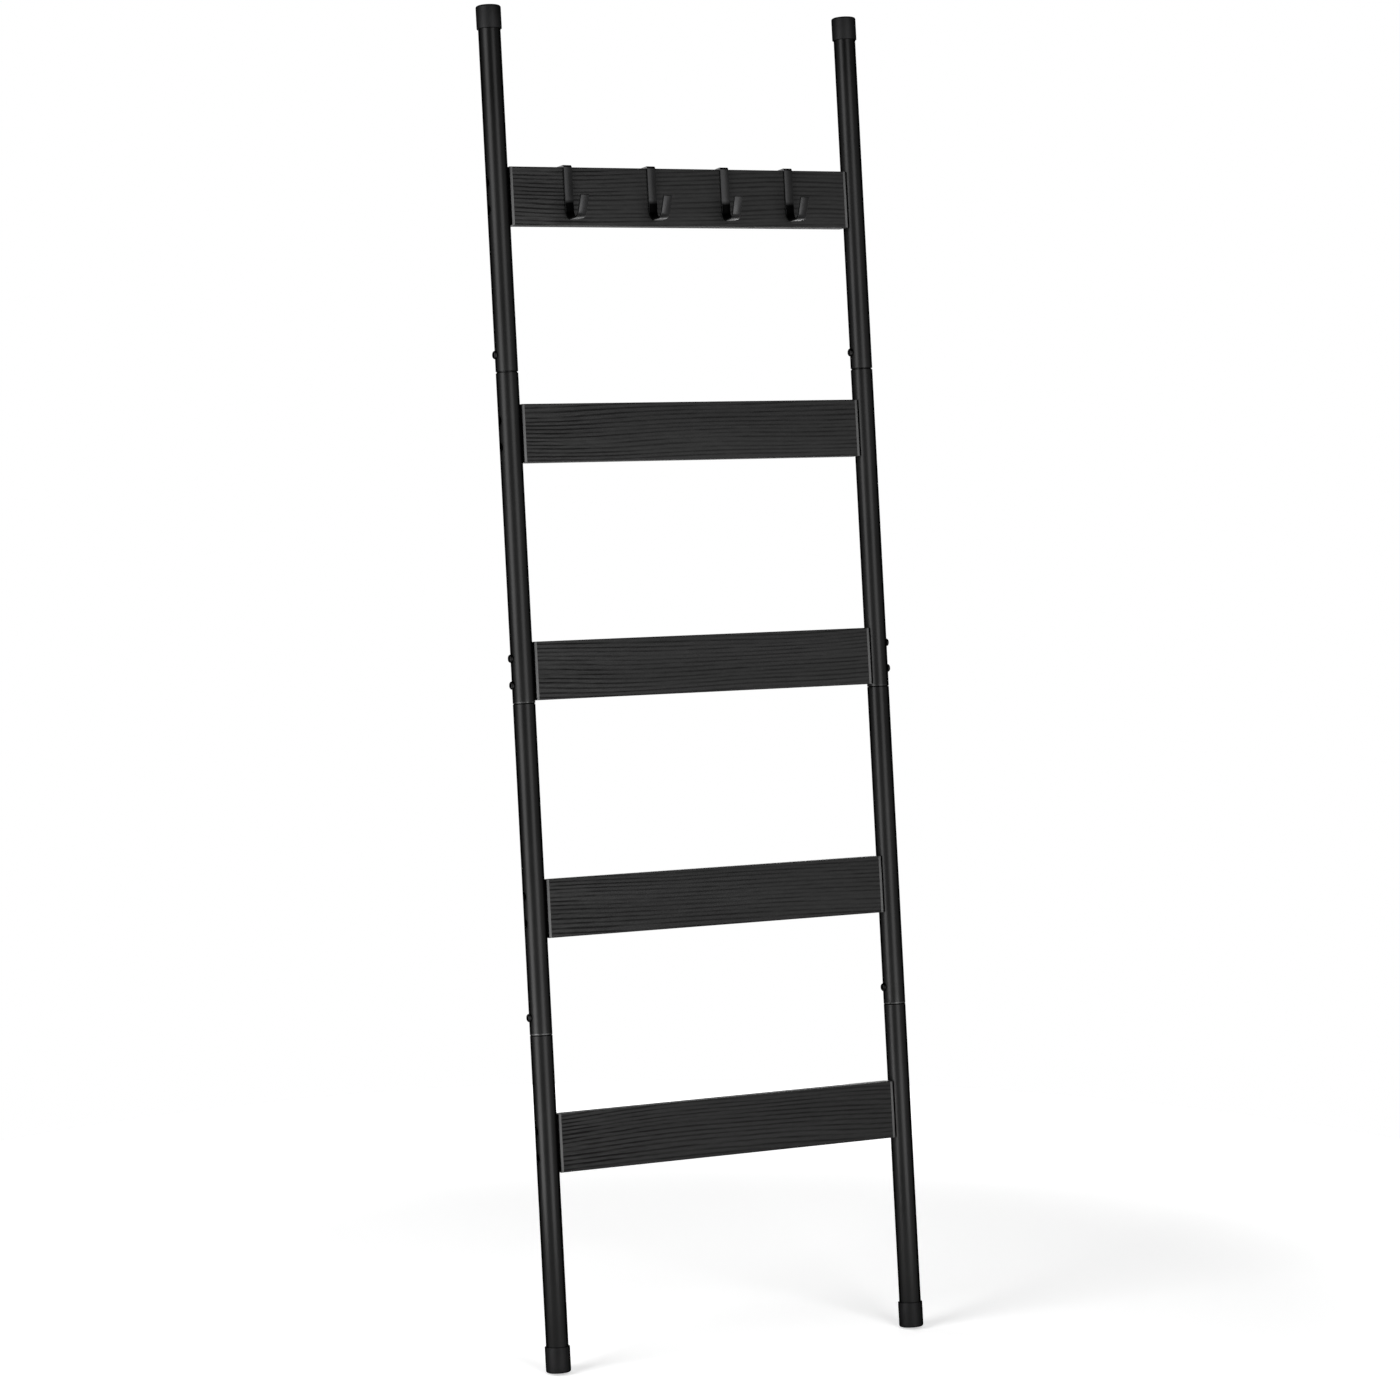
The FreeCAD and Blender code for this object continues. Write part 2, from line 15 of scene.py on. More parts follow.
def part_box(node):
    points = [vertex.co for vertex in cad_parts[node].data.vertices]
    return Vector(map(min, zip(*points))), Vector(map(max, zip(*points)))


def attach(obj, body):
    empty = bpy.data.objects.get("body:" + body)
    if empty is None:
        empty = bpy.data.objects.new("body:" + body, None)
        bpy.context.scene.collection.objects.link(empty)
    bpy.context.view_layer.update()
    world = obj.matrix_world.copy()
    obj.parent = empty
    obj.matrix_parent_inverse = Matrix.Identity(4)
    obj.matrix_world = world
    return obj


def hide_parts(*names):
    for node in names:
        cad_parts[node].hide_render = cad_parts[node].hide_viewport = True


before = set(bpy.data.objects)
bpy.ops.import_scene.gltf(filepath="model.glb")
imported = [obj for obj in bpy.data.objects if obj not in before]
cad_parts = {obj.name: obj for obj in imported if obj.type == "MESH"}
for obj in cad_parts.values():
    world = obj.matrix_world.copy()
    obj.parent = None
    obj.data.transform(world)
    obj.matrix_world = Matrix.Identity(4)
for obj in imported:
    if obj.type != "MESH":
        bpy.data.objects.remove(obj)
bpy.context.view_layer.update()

# %% [markdown]
# ## Modelling upright, then leaning
#
# The real ladder is made straight and only leans once it stands at a wall. The same order is
# easiest here: each piece is modelled upright, with Z up the rails and Y towards the wall, and
# one turn and one move then lean it back. Both are applied to its mesh, so the finished object
# sits at the origin, unturned, just as the CAD nodes do.

# %% Millimetres, and the lean
MM = 0.001
LEAN = math.radians(7)
FOOT_PLACE = Vector((0, -99.446, 1.554)) * MM       # where the upright ladder's origin goes
HAIR = 0.02 * MM                                    # places nearer than this are the same
print("lean:", round(math.degrees(LEAN), 1), "degrees")


# %% Letting go, taking and joining
def let_go():
    """Deselect all objects, because an operator acts on all that is selected."""
    if bpy.context.object and bpy.context.object.mode != "OBJECT":
        bpy.ops.object.mode_set(mode="OBJECT")
    bpy.ops.object.select_all(action="DESELECT")


def take(piece):
    """Select one object alone and make it the active one."""
    let_go()
    piece.select_set(True)
    bpy.context.view_layer.objects.active = piece


def join(pieces):
    """Make one object of several, and return it."""
    let_go()
    for piece in pieces:
        piece.select_set(True)
    bpy.context.view_layer.objects.active = pieces[0]
    if len(pieces) > 1:
        bpy.ops.object.join()
    return pieces[0]


def fix_place():
    """Write the selected object's place, turn and scale into its mesh."""
    bpy.ops.object.transform_apply(location=True, rotation=True, scale=True)


# %% Choosing parts of a mesh by their place
def pick(kind, test):
    """In edit mode, select the faces, edges or vertices for which the test is true."""
    bpy.ops.mesh.select_mode(type={"faces": "FACE", "edges": "EDGE", "verts": "VERT"}[kind])
    bpy.ops.mesh.select_all(action="DESELECT")
    mesh = bmesh.from_edit_mesh(bpy.context.object.data)
    for part in getattr(mesh, kind):
        if test(part):
            part.select_set(True)
    mesh.select_flush_mode()
    bmesh.update_edit_mesh(bpy.context.object.data)


def lies_at(part, axis, place):
    """True when every vertex of a face or an edge lies at one place along an axis."""
    return all(abs(vertex.co[axis] - place) < HAIR for vertex in part.verts)


def on_rim(edge, height, middle, radius):
    """True for an edge of the outer circle, round an upright axis at X = middle."""
    return lies_at(edge, 2, height) and all(
        math.hypot(vertex.co.x - middle, vertex.co.y) > radius - HAIR for vertex in edge.verts)


# %% Finishing a shape
def apply_modifiers(piece):
    """Turn the modifiers of a piece into plain mesh, in their order."""
    take(piece)
    for modifier in list(piece.modifiers):
        bpy.ops.object.modifier_apply(modifier=modifier.name)


def soften_edges(piece, width, segments, sharper_than):
    """Round every edge whose faces meet at more than that many degrees."""
    bevel = piece.modifiers.new("soft_edges", "BEVEL")
    bevel.width = width
    bevel.segments = segments
    bevel.limit_method = "ANGLE"
    bevel.angle_limit = math.radians(sharper_than)
    apply_modifiers(piece)


def smooth(piece, degrees=32):
    """Shade a piece smoothly, except where faces meet at more than that angle."""
    take(piece)
    bpy.ops.object.shade_smooth_by_angle(angle=math.radians(degrees))


# %% Measuring a piece
def open_edges(piece):
    """How many edges of a mesh don't lie between exactly two faces."""
    mesh = bmesh.new()
    mesh.from_mesh(piece.data)
    count = sum(1 for edge in mesh.edges if len(edge.link_faces) != 2)
    mesh.free()
    return count


def off_by(piece, nodes):
    """The most that a piece's box differs from its CAD nodes' boxes, in millimetres."""
    places = [vertex.co for vertex in piece.data.vertices]
    lows, highs = zip(*(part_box(node) for node in nodes))
    miss = 0
    for axis in range(3):
        low = min(place[axis] for place in places)
        high = max(place[axis] for place in places)
        miss = max(miss, abs(low - min(corner[axis] for corner in lows)),
                   abs(high - max(corner[axis] for corner in highs)))
    return miss / MM


# %% Putting a piece in place of its CAD node
def lean_back(piece):
    """Turn an upright piece back with the ladder and write the turn into its mesh."""
    take(piece)
    fix_place()
    piece.rotation_euler = (-LEAN, 0, 0)
    piece.location = FOOT_PLACE
    fix_place()


def settle(piece, name, body, slot, finish, *nodes):
    """Lean a modelled piece, name it, give it its finish and put it in place of its nodes."""
    lean_back(piece)
    piece.name = name
    piece.data.name = name
    piece.data.materials.clear()
    piece.data.materials.append(finish.material)
    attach(piece, body)
    miss = off_by(piece, nodes)
    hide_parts(*nodes)
    print(f"{name}: {len(piece.data.polygons)} faces, {open_edges(piece)} open edges,",
          f"{miss:.2f} mm from its CAD box")


# %% [markdown]
# ## The camera
#
# The picture was taken from the ladder's left, at about three quarters of its height, with a
# long lens that looks slightly down: the rails run almost parallel and the boards get only
# slightly smaller to the right. The place and the lens come from the edges of the rails and
# boards, whose sizes are known.

# %% Camera
CAMERA_PLACE = (-1.9638, -4.1671, 1.2778)
CAMERA_YAW = 0.4393         # radians to the right of straight at the wall
CAMERA_PITCH = 0.1062       # radians down
SENSOR_WIDTH = 36           # millimetres, as is the lens
LENS = 97.62
FAR_LIMIT = 200             # metres, well past the floor
camera_data = bpy.data.cameras.new("camera")
camera_data.sensor_width = SENSOR_WIDTH
camera_data.lens = LENS
camera_data.dof.use_dof = False
camera_data.clip_end = FAR_LIMIT
camera = bpy.data.objects.new("camera", camera_data)
camera.location = CAMERA_PLACE
camera.rotation_euler = (math.pi / 2 - CAMERA_PITCH, 0, -CAMERA_YAW)
bpy.context.scene.collection.objects.link(camera)
bpy.context.scene.camera = camera
bpy.context.scene.view_settings.view_transform = "Standard"
print("camera at", CAMERA_PLACE, "lens", LENS, "mm")

# %% [markdown]
# ## Small helpers for nodes
#
# The room, the floor and the finishes are all made of nodes. Two kinds come back everywhere: a
# sum of a few values, and a stretch of one range of values to another. The room and the floor
# also ask how a ray looks at them, and most colours of the ladder are plain greys.


# %% Sums and ranges
def add_sum(tree, operation, *values):
    """A sum of one to three values, each a number or the output of another node."""
    node = tree.nodes.new("ShaderNodeMath")
    node.operation = operation
    for socket, value in zip(node.inputs, values):
        if isinstance(value, (int, float)):
            socket.default_value = value
        else:
            tree.links.new(value, socket)
    return node.outputs[0]


def add_range(tree, value, low, high, to_low=0.0, to_high=1.0, kind="LINEAR"):
    """Stretch a value from one range to another, clipped at both ends."""
    node = tree.nodes.new("ShaderNodeMapRange")
    node.interpolation_type = kind
    node.inputs["From Min"].default_value = low
    node.inputs["From Max"].default_value = high
    node.inputs["To Min"].default_value = to_low
    node.inputs["To Max"].default_value = to_high
    tree.links.new(value, node.inputs["Value"])
    return node.outputs[0]


def seen_directly(tree):
    """1 for camera, glossy and transmission rays, so a background shows as plain white."""
    path = tree.nodes.new("ShaderNodeLightPath").outputs
    camera_or_gloss = add_sum(tree, "MAXIMUM", path["Is Camera Ray"], path["Is Glossy Ray"])
    return add_sum(tree, "MAXIMUM", camera_or_gloss, path["Is Transmission Ray"])


def grey(value):
    """An even grey, as red, green, blue and alpha."""
    return (value, value, value, 1)


print("a middle grey is", grey(0.5))

# %% [markdown]
# ## Light
#
# Round black tubes show where the lamps stand: each has two soft upright streaks, the brighter
# on its left. So two tall soft boxes stand left and right of the camera, the left one stronger.
# A low box goes on below each of them, beyond the rim of the floor, so that the streaks run down
# to the feet. Two dimmer boxes behind light the sides that the picture doesn't show. The rest
# comes from the room: pale walls, which the camera and reflections see as plain white, under a
# dark ceiling that keeps the tops of the boards and hooks dark.

# %% The white room
WALLS_END = math.sin(math.radians(12))          # height of a direction: 0 level, 1 straight up
CEILING_FROM = math.sin(math.radians(32))
CEILING_SHADE = 0.08
ROOM_FILL = 0.16
world = bpy.data.worlds.new("white_room")
bpy.context.scene.world = world
world.use_nodes = True
room = world.node_tree
room.nodes.clear()
direction = room.nodes.new("ShaderNodeTexCoord")
split = room.nodes.new("ShaderNodeSeparateXYZ")
room.links.new(direction.outputs["Generated"], split.inputs[0])
shade = add_range(room, split.outputs["Z"], WALLS_END, CEILING_FROM, 1.0, CEILING_SHADE,
                  "SMOOTHSTEP")
room_mix = room.nodes.new("ShaderNodeMixShader")
room.links.new(seen_directly(room), room_mix.inputs["Fac"])
for place, brightness in enumerate((ROOM_FILL, 1), start=1):
    background = room.nodes.new("ShaderNodeBackground")
    background.inputs["Strength"].default_value = brightness
    room.links.new(shade, background.inputs["Color"])
    room.links.new(background.outputs[0], room_mix.inputs[place])
room_out = room.nodes.new("ShaderNodeOutputWorld")
room.links.new(room_mix.outputs[0], room_out.inputs["Surface"])
print("the room lights the ladder at", ROOM_FILL)


# %% Soft boxes
def soft_box(name, bearing, distance, middle, width, height, watts):
    """A soft lamp, at a bearing in degrees from the front, to the right when positive."""
    lamp = bpy.data.lights.new(name, "AREA")
    lamp.shape = "RECTANGLE"
    lamp.size = width
    lamp.size_y = height
    lamp.energy = watts
    box = bpy.data.objects.new(name, lamp)
    turn = math.radians(bearing)
    box.location = (distance * math.sin(turn), -distance * math.cos(turn), middle)
    aim = Vector((0, 0, middle)) - box.location
    box.rotation_euler = aim.to_track_quat("-Z", "Y").to_euler()
    box.visible_camera = False
    bpy.context.scene.collection.objects.link(box)
    print(f"{name}: {watts} W at {bearing} degrees")


LEFT = -76                  # bearings of the lamps that make the two streaks, in degrees
RIGHT = 9
soft_box("left_soft_box", LEFT, distance=2.3, middle=1.3, width=1.3, height=3.8, watts=88)
soft_box("right_soft_box", RIGHT, distance=2.6, middle=1.4, width=1.4, height=4.0, watts=68)
soft_box("left_low_box", LEFT, distance=2.25, middle=-0.4, width=1.3, height=1.0, watts=34)
soft_box("right_low_box", RIGHT, distance=2.55, middle=-0.4, width=1.4, height=1.0, watts=26)
soft_box("back_left_soft_box", -150, distance=3.6, middle=1.45, width=1.4, height=2.6, watts=34)
soft_box("back_right_soft_box", 142, distance=3.6, middle=1.45, width=1.4, height=2.6, watts=30)

# %% [markdown]
# ## Floor
#
# The background is white down to the feet. The floor is a pale matt disc that keeps the ladder's
# shadow. Part of its white is its own for the camera and for reflections, and all of it at the
# rim, where it passes into the white room. It ends early enough for the low boxes to light the
# rails from beyond it.

# %% Floor disc
FLOOR_RADIUS = 1.5
bpy.ops.mesh.primitive_circle_add(vertices=128, radius=FLOOR_RADIUS, fill_type="NGON",
                                  location=(0, 0, 0))
floor = bpy.context.object
floor.name = "floor"
floor_paint = bpy.data.materials.new("pale_floor")
floor.data.materials.append(floor_paint)
print("floor laid,", FLOOR_RADIUS, "m in radius")

# %% Floor paint
FADE_FROM = 0.7             # metres from the middle of the floor
FADE_TO = 1.45
OWN_WHITE = 0.50
FLOOR_GREY = grey(0.82)
floor_paint.use_nodes = True
tree = floor_paint.node_tree
tree.nodes.clear()
here = tree.nodes.new("ShaderNodeTexCoord")
from_middle = tree.nodes.new("ShaderNodeVectorMath")
from_middle.operation = "LENGTH"
tree.links.new(here.outputs["Object"], from_middle.inputs[0])
own = add_range(tree, from_middle.outputs["Value"], FADE_FROM, FADE_TO, OWN_WHITE, 1.0,
                "SMOOTHSTEP")
matt = tree.nodes.new("ShaderNodeBsdfDiffuse")
matt.inputs["Color"].default_value = FLOOR_GREY
white = tree.nodes.new("ShaderNodeEmission")
tree.links.new(add_sum(tree, "MULTIPLY", own, seen_directly(tree)), white.inputs["Strength"])
both = tree.nodes.new("ShaderNodeAddShader")
tree.links.new(matt.outputs[0], both.inputs[0])
tree.links.new(white.outputs[0], both.inputs[1])
tree.links.new(both.outputs[0], tree.nodes.new("ShaderNodeOutputMaterial").inputs["Surface"])
print("floor white from", FADE_TO, "m on")

# %% [markdown]
# ## Finishes
#
# All finishes are made of nodes and read the pieces' own places, so nothing stretches and no
# two pieces look the same. A helper lays out what they share: the upright ladder's directions,
# noise stretched along any of them, and one shader.


# %% Shared parts of the finishes
class Finish:
    """A material with one shader, and short ways to add noise and sums to it."""

    def __init__(self, name):
        self.material = bpy.data.materials.new(name)
        self.material.use_nodes = True
        self.tree = self.material.node_tree
        self.tree.nodes.clear()
        self.shader = self.add("ShaderNodeBsdfPrincipled")
        self.link(self.shader.outputs[0], self.add("ShaderNodeOutputMaterial").inputs["Surface"])
        stand_up = self.add("ShaderNodeMapping")
        stand_up.inputs["Rotation"].default_value = (LEAN, 0, 0)
        stand_up.inputs["Location"].default_value = -(Matrix.Rotation(LEAN, 3, "X") @ FOOT_PLACE)
        self.link(self.add("ShaderNodeTexCoord").outputs["Object"], stand_up.inputs["Vector"])
        self.upright = stand_up.outputs[0]

    def add(self, kind):
        return self.tree.nodes.new(kind)

    def link(self, output, socket):
        self.tree.links.new(output, socket)

    def sum(self, operation, *values):
        return add_sum(self.tree, operation, *values)

    def spread(self, value, low, high, to_low=0.0, to_high=1.0):
        return add_range(self.tree, value, low, high, to_low, to_high)

    def place(self, axis):
        """How far along X, Y or Z of the upright ladder, in metres."""
        split = self.add("ShaderNodeSeparateXYZ")
        self.link(self.upright, split.inputs[0])
        return split.outputs[axis]

    def noise(self, per_metre, detail=2, rough=0.5, shift=0.0):
        """Soft noise with so many waves a metre along X, Y and Z of the upright ladder."""
        stretch = self.add("ShaderNodeMapping")
        stretch.inputs["Scale"].default_value = per_metre
        stretch.inputs["Location"].default_value = (shift, shift, shift)
        self.link(self.upright, stretch.inputs["Vector"])
        texture = self.add("ShaderNodeTexNoise")
        texture.inputs["Scale"].default_value = 1
        texture.inputs["Detail"].default_value = detail
        texture.inputs["Roughness"].default_value = rough
        self.link(stretch.outputs[0], texture.inputs["Vector"])
        return texture.outputs["Fac"]

    def colour_between(self, value, low, high, beyond=None):
        """Colour the piece from low to high as the value goes from 0 to 1, and beyond it at 2."""
        ramp = self.add("ShaderNodeValToRGB")
        ramp.color_ramp.elements[0].color = low
        ramp.color_ramp.elements[1].color = high
        if beyond:
            ramp.color_ramp.elements[1].position = 0.5
            ramp.color_ramp.elements.new(1.0).color = beyond
            value = self.sum("MULTIPLY", value, 0.5)
        self.link(value, ramp.inputs["Fac"])
        self.link(ramp.outputs["Color"], self.shader.inputs["Base Color"])

    def bump(self, height, depth, strength=1.0):
        """Relief of that depth in metres."""
        node = self.add("ShaderNodeBump")
        node.inputs["Strength"].default_value = strength
        node.inputs["Distance"].default_value = depth
        self.link(height, node.inputs["Height"])
        self.link(node.outputs[0], self.shader.inputs["Normal"])

    def set(self, **sockets):
        """Set sockets of the shader to constants or outputs, with _ for a space."""
        for name, value in sockets.items():
            socket = self.shader.inputs[name.replace("_", " ")]
            if isinstance(value, (int, float, tuple)):
                socket.default_value = value
            else:
                self.link(value, socket)


USUAL = (0.3, 0.7)          # soft noise seldom leaves this range
print("finishes can be laid out")

# %% [markdown]
# ### Powder coat
#
# The rails are steel, sprayed with black powder and baked. Such a coat is satin, with a fine
# orange peel that breaks up the streaks of light, and a slightly uneven gloss. The peel is a
# relief of hundredths of a millimetre, about a millimetre from crest to crest. The rails keep
# their black up to their outlines, where a plain varnish would mirror the white room, so the
# shader is a very dark metal with a dark edge tint. Just above the two lower joints, a paler
# broken-up ring is painted in as a highlight line.

# %% Powder coat for the rails
JOINTS = (402.5 * MM, 798 * MM, 1193.5 * MM)    # where the tubes of a rail meet
HIGHLIGHT_RING_HALF = 1.1 * MM                          # half the height of a painted highlight ring
COAT_DEEP = grey(0.0125)
COAT_PALE = grey(0.0165)
# paler colour painted in at the lower joints as a highlight line
PAINTED_HIGHLIGHT = grey(0.058)
COAT_EDGE = grey(0.12)                          # the tint that keeps the outlines black
COAT_ROUGHNESS = (0.31, 0.37)
PEEL_DEPTH = 0.03 * MM
rail_coat = Finish("rail_powder_coat")
peel = rail_coat.noise((700, 700, 700))
cloud = rail_coat.noise((14, 14, 6), detail=3)
height = rail_coat.place("Z")
coat_tone_and_highlight = rail_coat.spread(cloud, *USUAL)
highlight_breakup = rail_coat.spread(rail_coat.noise((260, 260, 90)), 0.3, 0.55, 0.3, 1.0)
# Painted highlight: a broken-up paler ring just above each of the two lower joints.
for joint in JOINTS[:2]:
    away = rail_coat.sum("ABSOLUTE", rail_coat.sum("SUBTRACT", height, joint + HIGHLIGHT_RING_HALF))
    ring = rail_coat.spread(away, 0.6 * HIGHLIGHT_RING_HALF, HIGHLIGHT_RING_HALF, 1.0, 0.0)
    coat_tone_and_highlight = rail_coat.sum("ADD", coat_tone_and_highlight, rail_coat.sum("MULTIPLY", ring, highlight_breakup))
rail_coat.colour_between(coat_tone_and_highlight, COAT_DEEP, COAT_PALE, beyond=PAINTED_HIGHLIGHT)
rail_coat.bump(peel, PEEL_DEPTH)
rail_coat.set(Roughness=rail_coat.spread(cloud, *USUAL, *COAT_ROUGHNESS), Metallic=1,
              Specular_Tint=COAT_EDGE)
# The printed heights are those of the painted highlight rings.
print("rail coat ready, highlighted at", [round(joint / MM, 1) for joint in JOINTS[:2]], "mm")

# %% [markdown]
# ### Paint on the hooks
#
# The hooks are bent from flat strip and painted black, a little smoother than the rails. Their
# paint is laid out like the rail coat, with a paler edge tint. Inside the bend, between the shank
# and the tip, a near-black colour is painted in as the shade that the tip casts, and it fades out
# above the tip.

# %% Paint for the hooks
SOLE = 1375.25 * MM                             # middle of the strip under the hook
SHADE_FULL_UP_TO = SOLE + 20 * MM                    # painted shade: full black inside the bend up to here, and none of it
SHADE_GONE_FROM = SOLE + 30 * MM
INTO_BEND = (0, -0.7, 0.7)                      # faces that look this way line the bend
TIP_BACK = -30 * MM                             # the tip's strip stands in front of this
BEHIND_TIP = -24 * MM
PAINT_DEEP = (0.0145, 0.0145, 0.0147, 1)
PAINT_PALE = (0.0185, 0.0185, 0.0187, 1)
# near-black colour painted in as the shade that the tip casts into the bend
PAINTED_BEND_SHADE = grey(0.0008)
PAINT_EDGE = grey(1)
PAINT_ROUGHNESS = (0.26, 0.34)
SPECK_DEPTH = 0.02 * MM
hook_coat = Finish("hook_paint")
speck = hook_coat.noise((900, 900, 900))
patch = hook_coat.noise((60, 60, 40), detail=3)
facing = hook_coat.add("ShaderNodeVectorMath")
facing.operation = "DOT_PRODUCT"
facing.inputs[1].default_value = INTO_BEND
hook_coat.link(hook_coat.add("ShaderNodeTexCoord").outputs["Normal"], facing.inputs[0])
# Painted shade: faces that line the bend, low down and behind the tip, are coloured near black.
inside = hook_coat.spread(facing.outputs["Value"], 0.35, 0.6)
low_down = hook_coat.spread(hook_coat.place("Z"), SHADE_FULL_UP_TO, SHADE_GONE_FROM, 2.0, 0.0)
behind = hook_coat.spread(hook_coat.place("Y"), TIP_BACK, BEHIND_TIP)
inside = hook_coat.sum("MULTIPLY", inside, hook_coat.sum("MULTIPLY", low_down, behind))
hook_tone_and_shade = hook_coat.sum("MAXIMUM", hook_coat.spread(patch, *USUAL), inside)
hook_coat.colour_between(hook_tone_and_shade, PAINT_DEEP, PAINT_PALE, beyond=PAINTED_BEND_SHADE)
hook_coat.bump(speck, SPECK_DEPTH)
hook_coat.set(Roughness=hook_coat.spread(patch, *USUAL, *PAINT_ROUGHNESS), Metallic=1,
              Specular_Tint=PAINT_EDGE)
print("hook paint ready, black inside up to", round(SHADE_FULL_UP_TO / MM, 1), "mm")

# %% [markdown]
# ### Rubber
#
# Feet and caps are moulded rubber: nearly matt, a little greyer where it is handled, with the
# fine texture of an eroded mould. Like the rails they stay black at their outlines, so they get
# the same kind of shader, only much rougher.

# %% Rubber for feet and caps
RUBBER_DEEP = (0.0105, 0.0105, 0.0107, 1)
RUBBER_HANDLED = (0.0150, 0.0150, 0.0153, 1)
RUBBER_EDGE = grey(0.10)
RUBBER_ROUGHNESS = (0.50, 0.60)
GRIT_DEPTH = 0.04 * MM
rubber = Finish("moulded_rubber")
grit = rubber.noise((1500, 1500, 1500))
bloom = rubber.noise((45, 45, 30), detail=3)
rubber.colour_between(rubber.spread(bloom, 0.3, 0.75), RUBBER_DEEP, RUBBER_HANDLED)
rubber.bump(grit, GRIT_DEPTH)
rubber.set(Roughness=rubber.spread(grit, *USUAL, *RUBBER_ROUGHNESS), Metallic=1,
           Specular_Tint=RUBBER_EDGE)
print("rubber ready")

# %% [markdown]
# ### Charcoal wood grain
#
# The boards have a charcoal face with the grain of a straight-cut plank: long dark lines about
# five millimetres apart, nearly level, that drift together and apart. They are bands across the
# board's height, bent by slow noise, and each line comes and goes along its length. Fine fibres
# run between them. Because the pattern is made in the upright ladder's own space, every board
# gets its own stretch of it. The grain is strongest at the left end, and calmer from a third of
# the length on.

# %% Lines, fibres and tones of the wood
LINE_PITCH = 5.1 * MM
SLOW_DRIFT = 42 * MM
NEAR_DRIFT = 5.5 * MM
wood = Finish("charcoal_grain")
bent = wood.sum("MULTIPLY_ADD", wood.noise((1.9, 9, 5), detail=1), SLOW_DRIFT, wood.place("Z"))
near = wood.noise((4.0, 30, 50), detail=1, shift=3.1)
bent = wood.sum("MULTIPLY_ADD", near, NEAR_DRIFT, bent)
wave = wood.sum("SINE", wood.sum("MULTIPLY", bent, 2 * math.pi / LINE_PITCH))
line = wood.sum("POWER", wood.spread(wave, -0.35, 1.0), 1.3)
come_and_go = wood.spread(wood.noise((14, 40, 190), shift=7.7), 0.34, 0.58, 0.3, 1.0)
line = wood.sum("MULTIPLY", line, come_and_go)
fibre = wood.spread(wood.noise((60, 260, 900), detail=3, rough=0.6), *USUAL)
tone = wood.spread(wood.noise((3.5, 10, 45), shift=1.3), 0.35, 0.65)
print("wood lines every", round(LINE_PITCH / MM, 1), "mm")

# %% Wood for the boards
BOARD_REACH = 222 * MM          # from the ladder's middle to the end of a board's core
CALM_FROM = -70 * MM
LEFT_CONTRAST = 2.1
LINE_SHARE = 0.58
FIBRE_SHARE = 0.30
TONE_SHARE = 0.12
MIDDLE_SHADE = 0.36             # the shade that a change of contrast leaves alone
FACE_GREY = grey(0.0318)
GRAIN_BLACK = grey(0.0015)
WOOD_ROUGHNESS = (0.46, 0.62)
GRAIN_DEPTH = 0.08 * MM
grain = wood.sum("MULTIPLY", line, LINE_SHARE)
grain = wood.sum("MULTIPLY_ADD", fibre, FIBRE_SHARE, grain)
grain = wood.sum("MULTIPLY_ADD", tone, TONE_SHARE, grain)
contrast = wood.spread(wood.place("X"), -BOARD_REACH, CALM_FROM, LEFT_CONTRAST, 1.0)
grain = wood.sum("MULTIPLY", wood.sum("SUBTRACT", grain, MIDDLE_SHADE), contrast)
depth = wood.spread(grain, -0.9, 0.64)
wood.colour_between(depth, FACE_GREY, GRAIN_BLACK)
wood.bump(wood.sum("SUBTRACT", 1.0, depth), GRAIN_DEPTH, strength=0.6)
wood.set(Roughness=wood.spread(depth, 0.0, 1.0, *WOOD_ROUGHNESS), Specular_IOR_Level=0.06)
print("wood calm from", round(CALM_FROM / MM), "mm on")

# %% [markdown]
# ### Edge band
#
# A board's sawn end is closed with a strip of smooth grey film, glued on and trimmed at a slant.
# It has no grain and more gloss than the board's face, so that its slant catches the light from
# the left as a thin pale line beside each rail.

# %% Film for the board ends
FILM_DEEP = grey(0.023)
FILM_PALE = grey(0.033)
FILM_ROUGHNESS = (0.40, 0.50)
FILM_RELIEF = 0.03 * MM
band = Finish("edge_film")
streak = band.noise((300, 90, 25), detail=3)
band.colour_between(band.spread(streak, *USUAL), FILM_DEEP, FILM_PALE)
band.bump(band.noise((900, 900, 500)), FILM_RELIEF)
band.set(Roughness=band.spread(streak, *USUAL, *FILM_ROUGHNESS), Specular_IOR_Level=0.5)
print("edge film ready")

# %% [markdown]
# ### Fasteners
#
# The bolts are blackened steel, the nuts inside the rails bright zinc, and the sleeves in the
# boards yellow zinc. All three are metals with fine turning marks and uneven gloss.


# %% Steel for the fasteners
MARK_DEPTH = 0.01 * MM


def metal(name, low, high, *roughness):
    """A turned metal, between two colours and between two roughnesses."""
    finish = Finish(name)
    stain = finish.noise((160, 160, 160), detail=3)
    marks = finish.noise((2600, 500, 500))
    finish.colour_between(finish.spread(stain, *USUAL), low, high)
    finish.bump(marks, MARK_DEPTH)
    finish.set(Roughness=finish.spread(stain, *USUAL, *roughness), Metallic=1)
    print(name, "ready")
    return finish


black_steel = metal("blackened_steel", grey(0.006), grey(0.014), 0.30, 0.42)
black_steel.set(Specular_Tint=grey(0.15))
zinc = metal("bright_zinc", (0.46, 0.47, 0.49, 1), (0.58, 0.59, 0.60, 1), 0.28, 0.40)
yellow_zinc = metal("yellow_zinc", (0.50, 0.40, 0.20, 1), (0.62, 0.52, 0.30, 1), 0.26, 0.38)

# %% [markdown]
# ## Rail tubes
#
# Each rail is four tubes of 27 mm steel that plug together. The lower tube of a joint is drawn
# in to a neck, and the upper one slides over it down to a small shoulder, so a joint shows as a
# fine line. By hand this is an open cylinder whose upper ring is extruded and drawn in, given a
# wall by Solidify, and then drilled with cutters. Extra rings near the holes keep the long
# smooth wall undisturbed by them. Last, a fine bevel softens every rim as the powder does.

